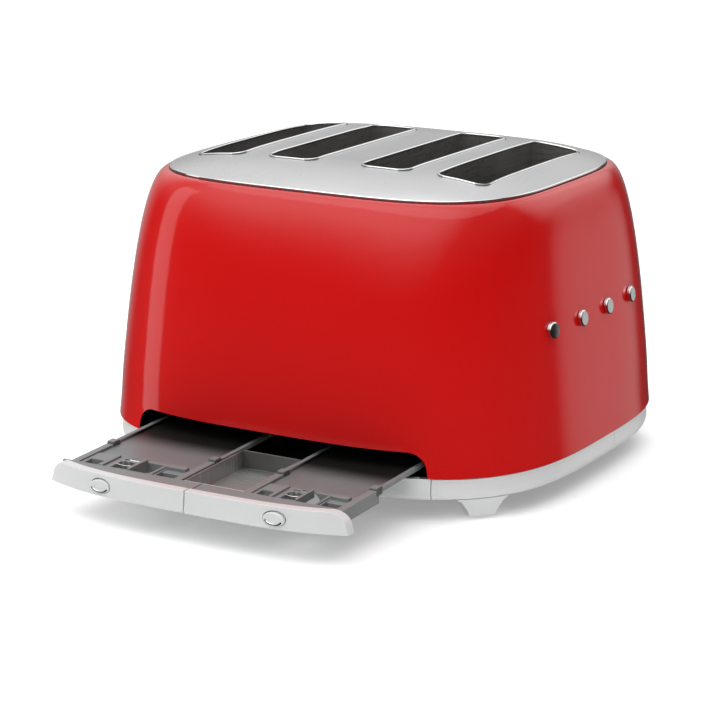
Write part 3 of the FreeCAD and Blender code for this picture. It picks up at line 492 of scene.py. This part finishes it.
# %% Rim bead and seals
def outline(half_width, half_depth, exponent, level, first=0, last=360, count=180):
    """Points on the rounded square between two angles, in millimetres, given in metres."""
    points = []
    for step in range(count):
        angle = math.radians(first + (last - first) * step / count)
        reach = (abs(math.cos(angle) / half_width) ** exponent
                 + abs(math.sin(angle) / half_depth) ** exponent) ** (-1 / exponent)
        points.append((reach * math.cos(angle) * MM, reach * math.sin(angle) * MM, level * MM))
    return points


_, PLATE_HIGH = [Vector(corner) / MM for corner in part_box("top_plate")]
RIM_X, RIM_Y = PLATE_HIGH.x, PLATE_HIGH.y
RIM_EXPONENT, FOOT_EXPONENT = 3.75, 3.3
BEAD_LEVEL, SEAL_LEVEL = 203.1, 202.0
BEAD_INSET, SEAL_INSET = 0.75, 0.3
bead("rim_bead", outline(RIM_X - BEAD_INSET, RIM_Y - BEAD_INSET, RIM_EXPONENT, BEAD_LEVEL), 1.0,
     "casing", POLISHED, sides=5)
bead("rim_seal", outline(RIM_X - SEAL_INSET, RIM_Y - SEAL_INSET, RIM_EXPONENT, SEAL_LEVEL), 0.75,
     "casing", RUBBER)
_, SHELL_HIGH = [Vector(corner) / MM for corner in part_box("body_shell")]
ARCH_ANGLE = math.degrees(math.atan2(160, 114))     # where the arch begins in the outline
BAND_INSET, BAND_SEAL_LEVEL = 1.4, 29.55
bead("band_seal", outline(SHELL_HIGH.x - BAND_INSET, SHELL_HIGH.y - BAND_INSET, FOOT_EXPONENT,
                          BAND_SEAL_LEVEL, first=180 - ARCH_ANGLE, last=360 + ARCH_ANGLE), 0.6,
     "casing", RUBBER, closed=False)
print("rim half sizes", round(RIM_X, 1), round(RIM_Y, 1))
# %% [markdown]
# The slots in the plate have a polished lip that follows the dome.  The lip is drawn as a
# wire whose height is found by looking straight down at the plate just outside the slot, so
# it can't float above the dome or sink into it.

# %% Slot lips
def rounded_box(middle_x, half_x, half_y, corner, steps=8):
    """Points round an upright slot with round corners, in millimetres, counter-clockwise."""
    points = []
    for turn, across, along in ((0, 1, 1), (90, -1, 1), (180, -1, -1), (270, 1, -1)):
        for step in range(steps + 1):
            angle = math.radians(turn + 90 * step / steps)
            points.append((middle_x + across * (half_x - corner) + corner * math.cos(angle),
                           along * (half_y - corner) + corner * math.sin(angle)))
    dense = []
    for index, (x, y) in enumerate(points):
        next_x, next_y = points[(index + 1) % len(points)]
        pieces = max(1, round(math.hypot(next_x - x, next_y - y) / 8))
        for part in range(pieces):
            share = part / pieces
            dense.append((x + (next_x - x) * share, y + (next_y - y) * share))
    return dense


def height_on(node_name, x, y):
    """The height of a node's top at a place, all in millimetres."""
    hit, place, _, _ = NODES[node_name].ray_cast(Vector((x * MM, y * MM, 1)), Vector((0, 0, -1)))
    return place.z / MM if hit else None


SLOT_MIDDLES = (-93.5, -36, 36, 93.5)
SLOT_HALF_X, SLOT_HALF_Y, SLOT_CORNER = 18, 75.5, 8
LIP_OUT, BESIDE_OUT, LIP_PROUD = 0.4, 2.2, 0.35
for number, middle in enumerate(SLOT_MIDDLES, start=1):
    path = []
    near, beside = [rounded_box(middle, SLOT_HALF_X + out, SLOT_HALF_Y + out, SLOT_CORNER + out)
                    for out in (LIP_OUT, BESIDE_OUT)]
    for (x, y), (far_x, far_y) in zip(near, beside):
        level = height_on("top_plate", far_x, far_y) + LIP_PROUD
        path.append((x * MM, y * MM, level * MM))
    bead(f"slot_lip_{number}", path, 0.85, "casing", POLISHED)
print("slot lips", len(SLOT_MIDDLES))

# %% [markdown]
# The cast and moulded pieces come from the CAD with knife edges.  Their shapes are right, so
# each is replaced by a softened copy of itself: the radius is large on castings and studs, and
# small on sheet metal.

# %% Soften the castings and mouldings
for side in ("left", "right", "rear", "front"):
    softened(f"base_band_{side}", f"band_{side}", "casing", SATIN, 0.5)
for side in ("left", "right"):
    softened(f"side_studs_{side}", f"studs_{side}", "casing", POLISHED, 1.0, 3)
    softened(f"tray_front_{side}", f"front_{side}", f"tray_{side}", FRONT_ALLOY,
             0.7, 3)
    softened(f"tray_frame_{side}", f"frame_{side}", f"tray_{side}", FRAME_GREY,
             0.45)
    softened(f"tray_pan_{side}", f"pan_{side}", f"tray_{side}", PAN_STEEL, 0.2)
    softened(f"carriage_{side}", f"lift_{side}", f"carriage_{side}", SHADED_ZINC, 0.25)
    softened(f"browning_dial_{side}", f"dial_{side}_body", f"dial_{side}",
             POLISHED, 0.8, 3)
softened("tray_centre_bin", "centre_bin", "tray_right", BIN_STEEL, 0.25)

# %% [markdown]
# The front side has openings for the levers, dials and buttons.  Each has a thin polished trim
# that lies on the curved casing.  The trims are wires whose depth is found by looking along +Y
# at the casing, which follows the curve exactly; a flat ring would sink in at one side.

# %% Trims on the lever side
IN_FRONT = -0.3          # metres, clear of the casing


def on_casing(x, z, proud=0.0):
    """The point of the lever side of the casing at x and z in millimetres, given in metres."""
    start = Vector((x * MM, IN_FRONT, z * MM))
    hit, place, _, _ = NODES["body_shell"].ray_cast(start, Vector((0, 1, 0)))
    return Vector((x * MM, place.y - proud * MM, z * MM))


def ring_on_casing(x, z, radius, count=40):
    turns = [2 * math.pi * step / count for step in range(count)]
    return [on_casing(x + radius * math.cos(turn), z + radius * math.sin(turn), 0.1)
            for turn in turns]


def middle_of(node_name):
    """The middle of a node's box, in millimetres."""
    low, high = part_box(node_name)
    return (Vector(low) + Vector(high)) / 2 / MM


LEVER_LOW, LEVER_HIGH, LEVER_HALF = 86, 178, 5.6
DIAL_RING, BUTTON_RING = 17.9, 6.9
TICK_REACHES = (20.5, 22.0, 24.0)
for side in ("left", "right"):
    lever = middle_of(f"lever_knob_{side}")
    middle_z, half_z = (LEVER_LOW + LEVER_HIGH) / 2, (LEVER_HIGH - LEVER_LOW) / 2
    path = [on_casing(lever.x + x, middle_z + z, 0.1)
            for x, z in rounded_box(0, LEVER_HALF, half_z, LEVER_HALF - 0.2)]
    bead(f"lever_trim_{side}", path, 0.9, "casing", POLISHED)
    dial = middle_of(f"browning_dial_{side}")
    bead(f"dial_ring_{side}", ring_on_casing(dial.x, dial.z, DIAL_RING), 0.8, "casing",
         POLISHED)
    rings = []
    for number in (1, 2, 3):
        button = middle_of(f"push_button_{side}_{number}")
        rings.append(ring_on_casing(button.x, button.z, BUTTON_RING, 28))
    wires(f"button_rings_{side}", rings, 0.7, "casing", POLISHED)
    ticks = []
    for step in range(7):
        turn = math.radians(-45 + 45 * step)
        across, up = math.cos(turn), math.sin(turn)
        ticks.append([on_casing(dial.x + across * reach, dial.z + up * reach)
                      for reach in TICK_REACHES])
    wires(f"dial_marks_{side}", ticks, 0.35, "casing", SATIN, closed=False, sides=2)
print("trims on the lever side done")

# %% [markdown]
# The dials, knobs and control buttons come from the CAD as plain turned shapes.  They are
# softened copies, and each dial gets a raised pointer so that its setting can be read.

# %% Knobs, pointers, pads and collars
POINTER_REACHES, POINTER_SUNK = (3.0, 8.0, 13.5), 0.25
for side in ("left", "right"):
    softened(f"lever_knob_{side}", f"knob_{side}", f"carriage_{side}", POLISHED,
             1.2, 4)
    low, high = [Vector(corner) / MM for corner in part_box(f"browning_dial_{side}")]
    middle = (low + high) / 2
    pointer = [(middle.x * MM, (low.y + POINTER_SUNK) * MM, (middle.z + reach) * MM)
               for reach in POINTER_REACHES]
    bead(f"dial_pointer_{side}", pointer, 0.55, f"dial_{side}", BLACK_PAINT,
         closed=False)
    for number in (1, 2, 3):
        softened(f"push_button_{side}_{number}", f"button_cap_{side}_{number}",
                 f"button_{side}_{number}", POLISHED, 0.6, 3)
softened("slot_collars", "slot_linings", "casing", LINER_STEEL, 0.25)
softened("foot_pads", "pads", "casing", RUBBER, 0.5)

# %% [markdown]
# Each heater board is wound with a flat ribbon.  One ribbon is a thin bar across the board, and
# the winding is that bar repeated up the board on both faces, in one piece a board.

# %% Heater windings
def bar(middle, size):
    """A small box by its middle and its size, both in millimetres."""
    bpy.ops.object.select_all(action="DESELECT")
    bpy.ops.mesh.primitive_cube_add(size=1, location=Vector(middle) * MM)
    piece = bpy.context.object
    piece.scale = Vector(size) * MM
    bpy.ops.object.transform_apply(location=True, rotation=True, scale=True)
    return piece


def join(pieces):
    bpy.ops.object.select_all(action="DESELECT")
    for piece in pieces:
        piece.select_set(True)
    bpy.context.view_layer.objects.active = pieces[0]
    if len(pieces) > 1:
        bpy.ops.object.join()
    return bpy.context.object


RIBBON_HIGH, RIBBON_THICK, RIBBON_COUNT = 2.2, 0.3, 11
BOARD_COUNT, BOARD_EDGE, RIBBON_SHARE = 6, 7, 0.9
for number in range(1, BOARD_COUNT + 1):
    low, high = [Vector(corner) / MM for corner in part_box(f"heater_board_{number}")]
    middle = (low + high) / 2
    pitch = (high.z - low.z - 2 * BOARD_EDGE) / (RIBBON_COUNT - 1)
    ribbons = []
    for face_x in (low.x - RIBBON_THICK / 2, high.x + RIBBON_THICK / 2):
        for step in range(RIBBON_COUNT):
            ribbons.append(bar((face_x, middle.y, low.z + BOARD_EDGE + pitch * step),
                               (RIBBON_THICK, (high.y - low.y) * RIBBON_SHARE, RIBBON_HIGH)))
    settle(join(ribbons), f"heater_winding_{number}", "casing", WINDING)
print("heater windings", BOARD_COUNT)

# %% [markdown]
# The trays are modelled pushed home, where everything is square to the toaster, and then moved
# by the same small turn and slide that the real tray makes.  The hinge of that turn is the
# lower front edge.

# %% Move from pushed home to pulled out
TRAY_TILT = math.radians(-1.6)
TRAY_HINGE = Vector((0, 163, 30.8)) * MM
SLIDE = next(joint for joint in frame["record"]["behaviour"]["joints"]
             if joint["name"] == "tray_right_slide")
TRAY_SHIFT = Vector(SLIDE["axis"]).normalized() * -SLIDE["range_m"][0]
PULL_OUT = (Matrix.Translation(TRAY_HINGE + TRAY_SHIFT) @ Matrix.Rotation(TRAY_TILT, 4, "X")
            @ Matrix.Translation(-TRAY_HINGE))


def pulled_out(piece):
    """Move a piece that was modelled with the tray pushed home to where the tray is now."""
    select_only(piece)
    bpy.ops.object.transform_apply(location=True, rotation=True, scale=True)
    piece.matrix_world = PULL_OUT
    bpy.ops.object.transform_apply(location=True, rotation=True, scale=True)
    return piece


print("tray shift", tuple(round(value / MM, 1) for value in TRAY_SHIFT))

# %% [markdown]
# Each tray's release is an oval button that is flush with the front, with a polished crescent
# let into its lower half to catch a fingertip.  The oval is a cylinder squashed to an ellipse,
# with its edges rounded; the crescent is a wire that follows the lower half of the oval and is
# half sunk into it.

# %% Tray release buttons
PUSH_WIDE, PUSH_HIGH, PUSH_DEEP, PUSH_LOWER = 7.5, 4.5, 5, 0.4
CRESCENT_WIDE, CRESCENT_HIGH, CRESCENT_LOWER = 5.9, 3.1, 0.6
CRESCENT_FIRST, CRESCENT_TURN, CRESCENT_STEPS = 190, 160, 20
for side in ("left", "right"):
    low, high = [Vector(corner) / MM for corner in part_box(f"tray_button_{side}")]
    middle = (low + high) / 2
    bpy.ops.object.select_all(action="DESELECT")
    place = Vector((middle.x, high.y - PUSH_DEEP / 2, middle.z - PUSH_LOWER)) * MM
    bpy.ops.mesh.primitive_cylinder_add(vertices=48, radius=1, depth=PUSH_DEEP * MM,
                                        location=place,
                                        rotation=(math.radians(90) + TRAY_TILT, 0, 0))
    button = bpy.context.object
    button.scale = (PUSH_WIDE * MM, PUSH_HIGH * MM, 1)
    bpy.ops.object.transform_apply(location=False, rotation=False, scale=True)
    settle(button, f"tray_release_{side}", f"tray_button_{side}", FRONT_ALLOY)
    bevel_edges(button, 0.6, 3)
    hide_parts(f"tray_button_{side}")
    crescent = []
    for step in range(CRESCENT_STEPS + 1):
        turn = math.radians(CRESCENT_FIRST + CRESCENT_TURN * step / CRESCENT_STEPS)
        crescent.append(Vector((middle.x + CRESCENT_WIDE * math.cos(turn), high.y - 0.25,
                                middle.z - CRESCENT_LOWER + CRESCENT_HIGH * math.sin(turn))) * MM)
    bead(f"release_crescent_{side}", crescent, 0.75, f"tray_button_{side}",
         POLISHED, closed=False)
print("tray buttons done")

# %% [markdown]
# Behind each front the frame carries the release: a housing over the button's stem, a latch arm
# with a spring on two pegs, a guide wall, and a stepped hook beside the bin.  They are small
# mouldings, so each is a box whose edges are bevelled after all are joined into one piece.  One
# table holds their places as shares of the bay, because the two trays differ only in width.

# %% Release works in the tray frames
FRAME_ENDS = {"left": (16, 101), "right": (-104, -31)}
ARM = 5
WORKS = (    # share across the bay, middle Y, middle Z, width as a share, depth, height
    (0.11, 124.5, 41.0, 0.19, 10.5, 4.2),      # housing over the stem
    (0.225, 128.5, 42.2, 0.045, 22, 3.4),      # its raised edge
    (0.39, 121.5, 39.2, 0.15, 3, 6.5),         # stop behind the latch
    (0.39, 133.0, 38.4, 0.12, 2.2, 4.6),       # latch arm
    (0.52, 129.0, 42.0, 0.035, 21, 5.4),       # guide wall
    (0.745, 130.0, 41.6, 0.03, 19, 4.2),       # rib beside the hook
    (0.875, 121.6, 42.4, 0.19, 5.2, 4.4),      # hook, upper step
    (0.875, 127.0, 40.2, 0.19, 5.8, 4.2),      # hook, lower step
)
PEG_SHARES, PEG_Y, PEG_Z, PEG_RADIUS, PEG_HIGH = (0.36, 0.42), 127, 40.5, 1.5, 8
SPRING_FROM, SPRING_ACROSS, SPRING_Y, SPRING_Z = 0.30, 0.18, 129.5, 42.4
SPRING_BOW, SPRING_STEPS = 1.6, 12
CLIP_Y, CLIP_Z, CLIP_WIDE, CLIP_DEEP, CLIP_HIGH = 96.5, 42.3, ARM + 1, 7.5, 5


def bay_width(side):
    low_x, high_x = FRAME_ENDS[side]
    return high_x - low_x - 2 * ARM


def across(side, share):
    """A place across a tray's bay, as a share of it measured from the arm on the +X side."""
    return FRAME_ENDS[side][1] - ARM - bay_width(side) * share


def release_works(side):
    """The blocks and pegs behind one front, in one piece."""
    blocks = [bar((across(side, share), y, z), (bay_width(side) * wide, deep, high))
              for share, y, z, wide, deep, high in WORKS]
    for share in PEG_SHARES:
        place = Vector((across(side, share), PEG_Y, PEG_Z)) * MM
        bpy.ops.mesh.primitive_cylinder_add(vertices=20, radius=PEG_RADIUS * MM,
                                            depth=PEG_HIGH * MM, location=place)
        blocks.append(bpy.context.object)
    works = pulled_out(join(blocks))
    settle(works, f"release_works_{side}", f"tray_{side}", FRAME_GREY)
    bevel_edges(works, 0.4, 2)


def release_spring(side):
    """A bowed wire over the two pegs."""
    path = []
    for step in range(SPRING_STEPS + 1):
        part = step / SPRING_STEPS
        place = (across(side, SPRING_FROM + SPRING_ACROSS * part),
                 SPRING_Y + SPRING_BOW * math.sin(math.pi * part), SPRING_Z)
        path.append(PULL_OUT @ (Vector(place) * MM))
    bead(f"release_spring_{side}", path, 0.5, f"tray_{side}", WIRE_STEEL,
         closed=False)


def arm_clip(side, end, end_x, inward):
    """The dark clip that holds a rail to the end of an arm."""
    clip = bar((end_x + inward * ARM / 2, CLIP_Y, CLIP_Z), (CLIP_WIDE, CLIP_DEEP, CLIP_HIGH))
    pulled_out(clip)
    settle(clip, f"arm_clip_{side}_{end}", f"tray_{side}", CLIP_GREY)
    bevel_edges(clip, 0.8, 3)


for side, (low_x, high_x) in FRAME_ENDS.items():
    release_works(side)
    release_spring(side)
    low_end, high_end = ("inner", "outer") if side == "left" else ("outer", "inner")
    arm_clip(side, low_end, low_x, 1)
    arm_clip(side, high_end, high_x, -1)
print("release works done")

# %% [markdown]
# The base plate is held by four screws with low round heads.  A head is a flat cylinder whose
# edges are bevelled in edit mode, which is all that shows of it from below.  The four are one
# piece, because nobody would handle them apart.

# %% Underside screws
BASE_LOW, _ = [Vector(corner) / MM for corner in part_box("base_plate")]
SCREW_X, SCREW_Y, HEAD_RADIUS, HEAD_THICK, HEAD_PROUD = 100, 88, 3.4, 1.6, 0.7
screws = []
for x in (-SCREW_X, SCREW_X):
    for y in (-SCREW_Y, SCREW_Y):
        bpy.ops.object.select_all(action="DESELECT")
        place = Vector((x, y, BASE_LOW.z - HEAD_PROUD)) * MM
        bpy.ops.mesh.primitive_cylinder_add(vertices=24, radius=HEAD_RADIUS * MM,
                                            depth=HEAD_THICK * MM, location=place)
        head = bpy.context.object
        bpy.ops.object.mode_set(mode="EDIT")
        bpy.ops.mesh.select_all(action="SELECT")
        bpy.ops.mesh.bevel(offset=0.5 * MM, segments=2)
        bpy.ops.object.mode_set(mode="OBJECT")
        screws.append(head)
settle(join(screws), "base_screws", "casing", SHADED_ZINC)
print("screws", len(screws))
